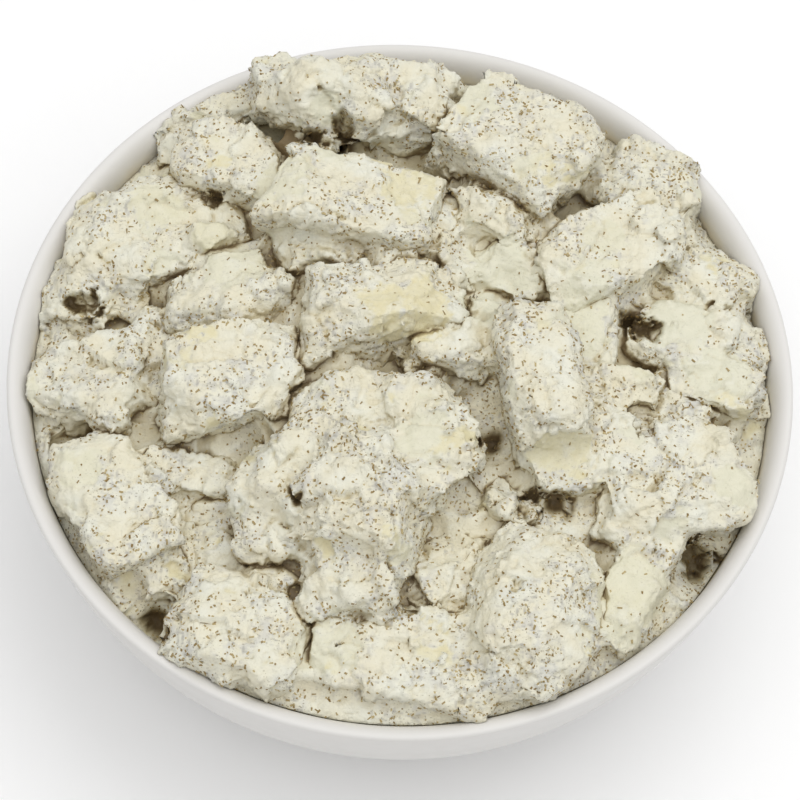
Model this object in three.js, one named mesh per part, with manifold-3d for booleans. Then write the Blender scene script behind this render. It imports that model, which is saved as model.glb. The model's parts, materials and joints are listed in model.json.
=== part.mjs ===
// A round white bowl heaped with chunky potato salad.
// Millimetres, +Z up, origin at the centre of the foot, the cook's side at -Y.
// Two solids: the bowl, turned from one profile, and the salad, a domed core
// with every potato block and lump that shows fused on.

import * as THREE from 'three';
import { ConvexGeometry } from 'three/addons/geometries/ConvexGeometry.js';
import { mergeVertices } from 'three/addons/utils/BufferGeometryUtils.js';
import Module from 'manifold-3d';

// ---- driving dimensions ----------------------------------------------------

// Bowl
const BOWL_RADIUS = 100;
const BOWL_HEIGHT = 67;
const LIP_EDGE = 1;
const LIP_WIDTH = 4.6;
const LIP_DROP = 7;
const BODY_POWER = 3.8;
const BODY_TAPER = 0.172;
const UNDERSIDE = 2.4;
const FOOT_OUTER = 46;
const FOOT_INNER = 41.5;
const FOOT_CHAMFER = 0.6;
const FLOOR_THICKNESS = 5.6;
const FLOOR_RADIUS = 30;
const BOWL_SIDES = 60;
const WALL_STEPS = 5;
const LIP_STEPS = 4;

// Salad
const GAP_TO_BOWL = 0.4;
const CORE_RADIUS = 93;
const CORE_TOP = 5;
const CORE_DROP = 21;
const CORE_POWER = 4;
const RIPPLE_HEIGHT = 1.6;
const RIPPLE_LENGTHS = [44, 38, 26];
const RIPPLE_SLANT = 0.6;
const CORE_RINGS = 6;
const CORE_SIDES = 32;
const HEAP_CEILING = 40;
const KNOB_SIZE = [5, 9];
const KNOB_RISE = 0.75;
const KNOB_SINK = 0.9;
const KNOB_THINNEST = 0.7;

// How a knife leaves a block, and how a broken, coated lump differs from it.
// lean: how far a face tilts; corner and edge: how far out a corner or an edge is
// cut, where 3 and 2 would leave it whole; spread: how much that varies;
// knobs: how many small knobs of mash and dressing cling to it.
const KINDS = {
  block: { lean: 0.16, corner: 2.2, edge: 1.72, spread: 0.4, knobs: 1 },
  barrel: { lean: 0.12, corner: 1.75, edge: 1.42, spread: 0.2, knobs: 1 },
  lump: { lean: 0.22, corner: 1.95, edge: 1.55, spread: 0.3, knobs: 3 },
};

// Every piece that shows, from the back of the bowl to the front.
// Place is of its centre, and level is measured from the rim. Size is length,
// width and height, before it is turned: yaw about +Z, pitch about its width,
// roll about its length. cut picks its own set of knife cuts.
const PIECES = [
  // name, [x, y, level], [length, width, height], [yaw, pitch, roll], kind, cut
  ['back_left_high', [-22, 72, 13], [27, 20, 18], [10, 0, -6], 'lump', 1],
  ['back_left_knob', [-38, 78, 7], [16, 15, 20], [0, 0, 0], 'lump', 64],
  ['back_centre', [-4, 75, 5], [32, 22, 21], [0, 0, 0], 'lump', 2],
  ['back_left_block', [-47, 52, 3], [30, 21, 20], [-15, 0, -8], 'block', 3],
  ['back_left_low', [-50, 75, -5], [34, 12, 14], [35, 0, 0], 'lump', 4],
  ['left_tip', [-79, 40, -4], [12, 10, 10], [0, 0, 0], 'lump', 53],
  ['big_slab', [-17, 40, 11], [44, 27, 20], [-9, 4, -10], 'block', 5],
  ['slab_foot', [-21, 28, 6], [28, 12, 13], [-5, 0, 0], 'lump', 61],
  ['slab_end', [0, 34, 6], [22, 14, 14], [0, 0, 0], 'lump', 60],
  ['knob_mid_back', [21, 41, 6], [24, 16, 16], [0, 0, 0], 'lump', 7],
  ['speckled_bit', [13, 28, 4], [14, 12, 12], [0, 0, 0], 'lump', 51],
  ['right_back_big', [25, 61, 7], [38, 31, 28], [-28, 0, -8], 'block', 6],
  ['right_rim_chunk', [61, 57, -2], [26, 24, 18], [60, 0, 0], 'block', 8],
  ['rim_gap_lump', [68, 44, -5], [18, 14, 14], [0, 0, 0], 'lump', 52],
  ['right_smooth', [51, 36, 4], [40, 24, 18], [30, 0, -6], 'block', 9],
  ['right_lumps', [76, 33, -4], [28, 20, 16], [-20, 0, 0], 'lump', 10],
  ['right_broken', [72, 14, 0], [27, 18, 14], [-10, 0, 0], 'block', 11],
  ['right_broken_low', [80, 1, 0], [24, 15, 12], [-15, 0, 0], 'block', 62],
  ['right_broken_wall', [88, 12, -5], [18, 13, 13], [75, 0, 0], 'lump', 63],
  ['right_wall_low', [87, 0, -9], [14, 20, 12], [0, 0, 0], 'lump', 48],
  ['pale_flake', [26, 28, 4], [24, 15, 12], [-20, 0, 0], 'lump', 12],
  ['ragged_flake', [45, 16, 1], [30, 16, 12], [85, 0, 0], 'block', 13],
  ['centre_right_long', [35, -7, 8], [43, 19, 24], [-75, 0, 0], 'block', 14],
  ['pale_bit', [20, 14, 6], [10, 7, 8], [0, 0, 0], 'block', 50],
  ['right_flap', [55, -3, 4], [20, 10, 8], [-12, 0, 0], 'block', 46],
  ['right_centre_lower', [46, -20, 1], [28, 23, 18], [20, 0, 0], 'block', 37],
  ['between_lumps', [11, 3, 6], [28, 14, 16], [0, 0, 0], 'lump', 45],
  ['mid_block', [-6, 11, 9], [40, 24, 21], [13, 4, -10], 'block', 15],
  ['left_mid_round', [-42, -10, 5], [35, 27, 22], [12, 0, 0], 'block', 16],
  ['left_upper_mid', [-43, 14, 3], [33, 18, 16], [10, 0, 0], 'lump', 17],
  ['bare_flake', [-44, 22, 7], [16, 10, 8], [10, 0, 0], 'block', 18],
  ['upper_left_big', [-65, 33, -3], [43, 29, 21], [22, 0, -8], 'block', 19],
  ['upper_left_low', [-76, 23, -9], [34, 22, 20], [25, 0, 0], 'lump', 56],
  ['upper_left_ridge', [-68, 45, 1], [28, 11, 12], [22, 0, 0], 'lump', 57],
  ['left_wall_lump', [-84, 14, -10], [22, 15, 15], [75, 0, 0], 'lump', 20],
  ['left_ragged', [-74, -7, -7], [34, 26, 22], [15, 0, 0], 'lump', 21],
  ['left_lobe', [-60, 5, -4], [18, 16, 14], [0, 0, 0], 'lump', 22],
  ['onion_dice', [-72, -20, 1], [9, 9, 8], [45, 0, 0], 'block', 44],
  ['onion_square', [-50, 31, 8], [11, 8, 7], [40, 10, 15], 'block', 58],
  ['lower_left_block', [-68, -43, -4], [34, 22, 20], [-55, 0, 0], 'block', 23],
  ['small_knob', [-55, -60, -4], [10, 10, 10], [0, 0, 0], 'lump', 24],
  ['strip_chunk', [-50, -33, -2], [27, 10, 10], [-3, 0, 0], 'block', 25],
  ['low_mid_left', [-42, -49, -9], [36, 26, 18], [-30, 0, 0], 'lump', 26],
  ['front_left', [-35, -75, -4], [35, 26, 19], [-18, 0, 0], 'block', 27],
  ['low_front_left', [-29, -62, -7], [24, 18, 14], [20, 0, 0], 'lump', 28],
  ['centre_top', [-14, -19, 6], [30, 20, 20], [8, 0, 0], 'lump', 32],
  ['centre_edge', [8, -24, 10], [36, 19, 18], [-62, 0, 0], 'lump', 31],
  ['bright_shard', [7, -28, 17], [22, 9, 6], [72, 0, 8], 'block', 55],
  ['centre_main', [-7, -42, 8], [34, 34, 26], [80, 0, 0], 'lump', 30],
  ['centre_left_lumps', [-28, -37, 4], [26, 19, 18], [80, 0, 0], 'lump', 29],
  ['column_lump', [-27, -48, 3], [16, 14, 12], [20, 0, 0], 'lump', 54],
  ['centre_column', [-8, -60, 2], [24, 27, 22], [85, 0, 0], 'lump', 33],
  ['low_mid_right', [14, -55, -6], [28, 28, 20], [70, 0, 0], 'lump', 35],
  ['low_hollow_lump', [24, -35, -4], [20, 16, 13], [-20, 0, 0], 'lump', 36],
  ['onion_strip', [30, -39, 4], [13, 6, 5], [-10, 0, 0], 'block', 49],
  ['front_centre', [3, -77, -5], [43, 28, 20], [-8, 0, 0], 'block', 34],
  ['front_right_barrel', [36, -65, 0], [44, 31, 27], [82, 0, 0], 'barrel', 38],
  ['right_lower_big', [69, -26, 0], [33, 28, 20], [20, 0, 0], 'block', 39],
  ['right_leg', [66, -43, -3], [30, 12, 16], [62, 0, 0], 'block', 40],
  ['bare_face', [60, -57, -6], [28, 15, 18], [68, 0, 0], 'block', 41],
  ['round_knob', [57, -40, -2], [13, 13, 12], [0, 0, 0], 'lump', 42],
  ['tiny_lump', [52, -70, -12], [12, 12, 8], [0, 0, 0], 'lump', 43],
  ['behind_right_lower', [67, -8, -4], [30, 14, 14], [10, 0, 0], 'lump', 47],
];

// ---- small helpers -----------------------------------------------------------

const wasm = await Module();
wasm.setup();

// A seeded draw between 0 and 1, so that the heap is the same every time.
function seededDraw(seed) {
  const modulus = 2147483647;
  const multiplier = 16807;
  let state = (seed * 7919 + 17) % modulus;
  const draw = () => {
    state = (state * multiplier) % modulus;
    return state / modulus;
  };
  for (let warmUp = 0; warmUp < 3; warmUp += 1) {
    draw();
  }
  return draw;
}

function toSolid(geometry) {
  const bare = geometry.clone();
  bare.deleteAttribute('normal');
  bare.deleteAttribute('uv');
  const merged = mergeVertices(bare, 1e-4);
  const mesh = new wasm.Mesh({
    numProp: 3,
    vertProperties: new Float32Array(merged.getAttribute('position').array),
    triVerts: new Uint32Array(merged.getIndex().array),
  });
  return new wasm.Manifold(mesh);
}

function toGeometry(solid) {
  const mesh = solid.getMesh();
  const geometry = new THREE.BufferGeometry();
  geometry.setAttribute('position', new THREE.BufferAttribute(mesh.vertProperties, 3));
  geometry.setIndex(new THREE.BufferAttribute(mesh.triVerts, 1));
  geometry.computeVertexNormals();
  return geometry;
}

// LatheGeometry turns about Y, and the bowl stands along Z.
function turned(profile, sides) {
  const geometry = new THREE.LatheGeometry(profile, sides);
  geometry.rotateX(Math.PI / 2);
  return geometry;
}

// ---- bowl ----------------------------------------------------------------------

const FLOOR_LEVEL = UNDERSIDE + FLOOR_THICKNESS;
const LIP_LEVEL = BOWL_HEIGHT - LIP_DROP;
const LIP_CENTRE = BOWL_RADIUS - LIP_EDGE;
const INNER_RADIUS = LIP_CENTRE - LIP_WIDTH;

// A tapered wall that rounds off into the floor: a quarter of a squared-off
// ellipse, from the foot up to the lip, that draws in as it goes down.
function wallCurve(radius, top, bottom, fromRadius) {
  const depth = top - bottom;
  const start = Math.asin(((fromRadius + BODY_TAPER * depth) / radius) ** (BODY_POWER / 2));
  const points = [];
  for (let step = 0; step <= WALL_STEPS; step += 1) {
    const angle = start + (Math.PI / 2 - start) * (step / WALL_STEPS);
    const down = depth * Math.cos(angle) ** (2 / BODY_POWER);
    const across = radius * Math.sin(angle) ** (2 / BODY_POWER) - BODY_TAPER * down;
    points.push(new THREE.Vector2(across, top - down));
  }
  return points;
}

// The inner side of the lip, which rolls over into the bowl, from its top inwards.
function lipCurve(gap) {
  const points = [];
  for (let step = LIP_STEPS; step > 0; step -= 1) {
    const angle = (Math.PI / 2) * (step / LIP_STEPS);
    const across = LIP_CENTRE - (LIP_WIDTH + gap) * Math.cos(angle);
    points.push(new THREE.Vector2(across, LIP_LEVEL + (LIP_DROP + gap) * Math.sin(angle)));
  }
  return points;
}

function bowlProfile() {
  const edge = LIP_EDGE * Math.SQRT1_2;
  const edgeLevel = BOWL_HEIGHT - LIP_EDGE;
  return [
    new THREE.Vector2(0, UNDERSIDE),
    new THREE.Vector2(FOOT_INNER, UNDERSIDE),
    new THREE.Vector2(FOOT_INNER + FOOT_CHAMFER, 0),
    new THREE.Vector2(FOOT_OUTER - FOOT_CHAMFER, 0),
    ...wallCurve(BOWL_RADIUS, edgeLevel, UNDERSIDE, FOOT_OUTER),
    new THREE.Vector2(LIP_CENTRE + edge, edgeLevel + edge),
    ...lipCurve(0),
    ...wallCurve(INNER_RADIUS, LIP_LEVEL, FLOOR_LEVEL, FLOOR_RADIUS).reverse(),
    new THREE.Vector2(0, FLOOR_LEVEL),
  ];
}

// ---- salad ---------------------------------------------------------------------

// The room inside the bowl, and above its lip, that the salad may fill.
function roomInBowl() {
  const bottom = FLOOR_LEVEL + GAP_TO_BOWL;
  const top = BOWL_HEIGHT + HEAP_CEILING;
  const profile = [
    new THREE.Vector2(0, bottom),
    ...wallCurve(INNER_RADIUS - GAP_TO_BOWL, LIP_LEVEL, bottom, FLOOR_RADIUS),
    ...lipCurve(GAP_TO_BOWL).reverse(),
    new THREE.Vector2(LIP_CENTRE, top),
    new THREE.Vector2(0, top),
  ];
  return toSolid(turned(profile, CORE_SIDES));
}

// The dressed bulk of the salad under the pieces, a low dome with soft ripples.
function core() {
  const profile = [new THREE.Vector2(0, FLOOR_LEVEL), new THREE.Vector2(CORE_RADIUS, FLOOR_LEVEL)];
  for (let ring = CORE_RINGS; ring >= 0; ring -= 1) {
    const share = ring / CORE_RINGS;
    const level = BOWL_HEIGHT + CORE_TOP - CORE_DROP * share ** CORE_POWER;
    profile.push(new THREE.Vector2(CORE_RADIUS * share, level));
  }
  const geometry = turned(profile, CORE_SIDES);
  const position = geometry.getAttribute('position');
  for (let index = 0; index < position.count; index += 1) {
    const x = position.getX(index);
    const y = position.getY(index);
    const z = position.getZ(index);
    if (z > BOWL_HEIGHT / 2) {
      const [along, across, slant] = RIPPLE_LENGTHS.map((length) => (2 * Math.PI) / length);
      const ripple = Math.sin(x * along) * Math.cos(y * across) + RIPPLE_SLANT * Math.sin((x - y) * slant);
      position.setZ(index, z + RIPPLE_HEIGHT * ripple);
    }
  }
  return toSolid(geometry);
}

// The faces of one piece and the cuts across its corners and edges, each a
// direction and how far out it lies, for a block from -1 to 1 along each axis.
function knifeCuts(kind, draw) {
  const { lean, corner, edge, spread } = KINDS[kind];
  const cuts = [];
  const addCut = (x, y, z, wander, reach) => {
    const share = [draw(), draw(), draw()].map((value) => wander * (2 * value - 1));
    cuts.push({ facing: new THREE.Vector3(x + share[0], y + share[1], z + share[2]), reach });
  };
  for (const side of [-1, 1]) {
    addCut(side, 0, 0, lean, 1);
    addCut(0, side, 0, lean, 1);
    addCut(0, 0, side, lean, 1);
  }
  for (const one of [-1, 1]) {
    for (const other of [-1, 1]) {
      addCut(one, other, 0, lean, edge + spread * draw());
      addCut(one, 0, other, lean, edge + spread * draw());
      addCut(0, one, other, lean, edge + spread * draw());
      addCut(one, other, -1, lean, corner + spread * draw());
      addCut(one, other, 1, lean, corner + spread * draw());
    }
  }
  return cuts;
}

// The corners of the solid inside all the cuts: where three of them meet and
// no other cuts the meeting point off.
function cornersInside(cuts) {
  const corners = [];
  const meeting = new THREE.Matrix3();
  for (let first = 0; first < cuts.length; first += 1) {
    for (let second = first + 1; second < cuts.length; second += 1) {
      for (let third = second + 1; third < cuts.length; third += 1) {
        const three = [cuts[first], cuts[second], cuts[third]];
        const rows = three.map(({ facing }) => facing.toArray()).flat();
        meeting.set(...rows);
        if (Math.abs(meeting.determinant()) > 1e-3) {
          const reaches = three.map(({ reach }) => reach);
          const point = new THREE.Vector3(...reaches).applyMatrix3(meeting.invert());
          if (cuts.every(({ facing, reach }) => facing.dot(point) < reach + 1e-6)) {
            corners.push(point);
          }
        }
      }
    }
  }
  return corners;
}

function reachAlong(direction, cuts) {
  const reaches = cuts.map(({ facing, reach }) => reach / Math.max(1e-6, facing.dot(direction)));
  return Math.min(...reaches);
}

// Small knobs that cling to the upper side of a piece, in millimetres.
function knobs(kind, cuts, draw, matrix) {
  const found = [];
  for (let count = 0; count < KINDS[kind].knobs; count += 1) {
    const around = 2 * Math.PI * draw();
    const up = KNOB_RISE * draw();
    const out = Math.sqrt(1 - up * up);
    const direction = new THREE.Vector3(out * Math.cos(around), out * Math.sin(around), up);
    const place = direction.clone().multiplyScalar(KNOB_SINK * reachAlong(direction, cuts));
    const size = KNOB_SIZE[0] + (KNOB_SIZE[1] - KNOB_SIZE[0]) * draw();
    const knob = new THREE.IcosahedronGeometry(size / 2, 0);
    const [width, height] = [draw(), draw()].map((value) => KNOB_THINNEST + (1 - KNOB_THINNEST) * value);
    knob.scale(1, width, height);
    knob.rotateZ(around);
    knob.translate(...place.applyMatrix4(matrix).toArray());
    found.push(toSolid(knob));
  }
  return found;
}

function piece([, place, size, turn, kind, cut]) {
  const draw = seededDraw(cut);
  const cuts = knifeCuts(kind, draw);
  const [yaw, pitch, roll] = turn.map(THREE.MathUtils.degToRad);
  const matrix = new THREE.Matrix4().compose(
    new THREE.Vector3(place[0], place[1], BOWL_HEIGHT + place[2]),
    new THREE.Quaternion().setFromEuler(new THREE.Euler(roll, pitch, yaw, 'ZYX')),
    new THREE.Vector3(size[0] / 2, size[1] / 2, size[2] / 2),
  );
  const block = new ConvexGeometry(cornersInside(cuts)).applyMatrix4(matrix);
  return [toSolid(block), ...knobs(kind, cuts, draw, matrix)];
}

// Core and pieces as one solid. Parts that fusing leaves apart, and hollows that
// it shuts in, are shells of their own, and only the largest shell is kept.
function fusedSalad() {
  let heap = core();
  for (const solid of PIECES.flatMap(piece)) {
    heap = heap.add(solid);
  }
  const shells = heap.intersect(roomInBowl()).decompose();
  shells.sort((first, second) => second.volume() - first.volume());
  return toGeometry(shells[0]);
}

// ---- the object -------------------------------------------------------------------

const glaze = new THREE.MeshStandardMaterial({ color: 0xe5e4e2, roughness: 0.35, metalness: 0 });
const dressing = new THREE.MeshStandardMaterial({ color: 0xdbd8c6, roughness: 0.55, metalness: 0 });

const bowl = new THREE.Mesh(turned(bowlProfile(), BOWL_SIDES), glaze);
bowl.name = 'bowl';

const salad = new THREE.Mesh(fusedSalad(), dressing);
salad.name = 'potato_salad';

const object = new THREE.Group();
object.add(bowl, salad);

export default object;
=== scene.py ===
# A round white bowl heaped with chunky potato salad in a creamy herb dressing.
# Metres, +Z up, the cook's side at -Y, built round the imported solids.

import json
import math

import bpy
from mathutils import Euler, Matrix, Vector

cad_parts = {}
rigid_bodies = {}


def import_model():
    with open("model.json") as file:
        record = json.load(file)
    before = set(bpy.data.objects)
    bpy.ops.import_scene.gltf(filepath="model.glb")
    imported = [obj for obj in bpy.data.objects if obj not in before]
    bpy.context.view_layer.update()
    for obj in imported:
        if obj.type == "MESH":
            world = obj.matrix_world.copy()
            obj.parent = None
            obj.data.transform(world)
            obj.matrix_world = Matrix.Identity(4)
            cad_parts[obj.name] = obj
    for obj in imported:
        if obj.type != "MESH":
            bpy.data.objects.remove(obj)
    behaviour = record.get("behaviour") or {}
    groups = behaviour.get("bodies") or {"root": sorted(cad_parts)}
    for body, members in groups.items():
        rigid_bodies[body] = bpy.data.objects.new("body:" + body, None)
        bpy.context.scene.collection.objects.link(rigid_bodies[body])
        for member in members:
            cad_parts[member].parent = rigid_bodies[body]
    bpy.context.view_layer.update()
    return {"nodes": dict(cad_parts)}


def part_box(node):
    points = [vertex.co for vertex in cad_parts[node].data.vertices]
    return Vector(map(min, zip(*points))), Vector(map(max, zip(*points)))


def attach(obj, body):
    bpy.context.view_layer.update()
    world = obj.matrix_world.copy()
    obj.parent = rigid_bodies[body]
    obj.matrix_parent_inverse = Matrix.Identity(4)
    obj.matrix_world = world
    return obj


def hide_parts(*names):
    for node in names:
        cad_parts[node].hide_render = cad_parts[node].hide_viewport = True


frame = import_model()
bpy.ops.object.select_all(action="DESELECT")

MM = 0.001
FULL_TURN = 6.28

# ---- sizes ----

# Bowl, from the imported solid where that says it
bowl_low, bowl_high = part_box("bowl")
BOWL_RADIUS = bowl_high.x
RIM_LEVEL = bowl_high.z
LIP_EDGE = 1.0 * MM
LIP_WIDTH = 4.6 * MM
LIP_DROP = 7.0 * MM
LIP_LEVEL = RIM_LEVEL - LIP_DROP
LIP_CENTRE = BOWL_RADIUS - LIP_EDGE
INNER_RADIUS = LIP_CENTRE - LIP_WIDTH
BODY_POWER = 3.8
BODY_TAPER = 0.172
UNDERSIDE = 2.4 * MM
FOOT_OUTER = 46 * MM
FOOT_INNER = 41.5 * MM
FOOT_CHAMFER = 0.6 * MM
FLOOR_LEVEL = 8.0 * MM
FLOOR_RADIUS = 30 * MM
WALL_STEPS = 26
EDGE_STEPS = 5
LIP_STEPS = 9
BOWL_TURNS = 224
GLAZE_BAND = (INNER_RADIUS + 2.4 * MM, INNER_RADIUS + 3.4 * MM)

# Knobs of mash on a piece: how wide they are, how far up its side and how deep they
# sit, and how thin they may be
KNOB_SIZE = (5 * MM, 9 * MM)
KNOB_RISE = 0.75
KNOB_SINK = 0.9
KNOB_THINNEST = 0.7

# The bulk of the salad: how far it lies below its solid, how deep its lumps are cut
# and how wide a crack is closed, then the broken bits for each square metre of it,
# how level and how hollow it is where they lie, their size, the cuts that shape them,
# and how far on their draws of a size start
BED_SINK = 0.7 * MM
BED_LUMPS = 4.2 * MM
BED_BRIDGE = 2.2 * MM
RUBBLE_DENSITY = 9000
RUBBLE_SLOPES = (0.3, 0.6)
RUBBLE_HOLLOWS = (-1.6 * MM, -0.6 * MM)
CHUNK_SIZE = 12 * MM
CHUNK_CUTS = (101, 102, 103, 104)
CHUNK_SIZES_AFTER = 50

# Where it is banked up against the wall, how far below the rim, and how far it is
# spread towards the wall. A band is where a change starts and where it is full.
GAP_TO_BOWL = 0.3 * MM
BANK_BAND = (76 * MM, 88 * MM)
BANK_BELOW_RIM = 6 * MM
BANK_AT_FRONT = 1.5 * MM
BANK_IN_NOOK = 12 * MM
BANK_DEPTH = 28 * MM
BANK_SIDES = 96
BANK_SPREAD = 5 * MM
SPREAD_BAND = (80 * MM, 89 * MM)
FRONT_BAND = (-82 * MM, -62 * MM)
BRIM_BAND = (-3 * MM, -0.5 * MM)
TOP_BAND = (RIM_LEVEL - 44 * MM, RIM_LEVEL - 36 * MM)

# How the salad is looked at, from 62 degrees above the table on the cook's side
LOOK_DOWN = math.radians(62)
LINE_OF_SIGHT = Vector((0, math.cos(LOOK_DOWN), -math.sin(LOOK_DOWN)))

# How far and how many ways each point looks for what shuts it in
CROWD_START = 0.5 * MM
CROWD_RAYS = 12
CROWD_SPREAD = 0.96
CROWD_REACH = 16 * MM
GOLDEN_ANGLE = math.radians(137.508)

# Herb flakes for each square metre, the size of a full one, how short one may be
# and how much is added to that at most, the way that they fell from, and how high up
# something would have caught them
HERB_DENSITY = 214000
HERB_SIZE = (1.0 * MM, 0.62 * MM, 0.25 * MM)
HERB_SHORTEST = 0.38
HERB_LONGER = 0.95
HERB_FALL = (0.0, -0.15, 0.7)
HERB_CAUGHT = 200 * MM

# How far a point stands out where an edge starts and where it is sharp, and the
# smallest and the largest crumb of dressing
EDGE_BAND = (0.05 * MM, 0.5 * MM)
CRUMB_RADIUS = 1 * MM
SMALLEST_CRUMB = (0.5, 0.5, 0.4)
LARGEST_CRUMB = (1.7, 1.2, 1.0)

# How high each feature of the dressing stands, how much of that is left on a bare
# face, and how far the coat and a bare face lie below the block as it was cut
SHEET_RISE = 0.45 * MM
SCRAP_RISE = 0.15 * MM
CURD_RISE = 1.2 * MM
SMALL_CURD_RISE = 0.75 * MM
TORN_RISE = 0.1 * MM
GRAIN_RISE = 0.45 * MM
RAGGED_RISE = 2.8 * MM
FACE_RISE = 0.6 * MM
LEFT_WHERE_BARE = 0.45
COAT_DROP = 0.35 * MM
BARE_DROP = 0.25 * MM

# How finely the salad is worked, coarser while trying things
BLOCK_VOXEL = 0.85 * MM
COAT_VOXEL = 0.58 * MM
BED_VOXEL = 1.2 * MM

# How a knife leaves a block, and how a broken, coated lump differs from it.
# lean: how far a face tilts; corner and edge: how far out a corner or an edge is
# cut, where 3 and 2 would leave it whole; spread: how much that varies; knobs: how
# many knobs of mash cling to it; swell: how far its faces wander in or out;
# softness: passes of smoothing; crumbs: small lumps of dressing for each square metre.
KINDS = {
    "block": {
        "lean": 0.16, "corner": 2.2, "edge": 1.72, "spread": 0.4, "knobs": 1,
        "swell": 0.9 * MM, "softness": 2, "crumbs": 16000,
    },
    "barrel": {
        "lean": 0.12, "corner": 1.75, "edge": 1.42, "spread": 0.2, "knobs": 1,
        "swell": 1.5 * MM, "softness": 4, "crumbs": 16000,
    },
    "lump": {
        "lean": 0.22, "corner": 1.95, "edge": 1.55, "spread": 0.3, "knobs": 3,
        "swell": 3.0 * MM, "softness": 3, "crumbs": 42000,
    },
}

# The plates that the dressing dries and breaks into: size, how much each tilts, how
# far it stands above its neighbour, and where its pattern starts
PLATES = [(14 * MM, 0.24, 0.9 * MM, 0.0), (6 * MM, 0.2, 0.5 * MM, 5.0)]

# How far dressing bridges the gaps between the pieces of a cluster
BRIDGE = 0.7 * MM
BRIDGES = {
    "centre_mass": 1.9 * MM,
    "left": 1.2 * MM,
    "low_middle": 1.6 * MM,
    "left_mid": 1.0 * MM,
}

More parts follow.
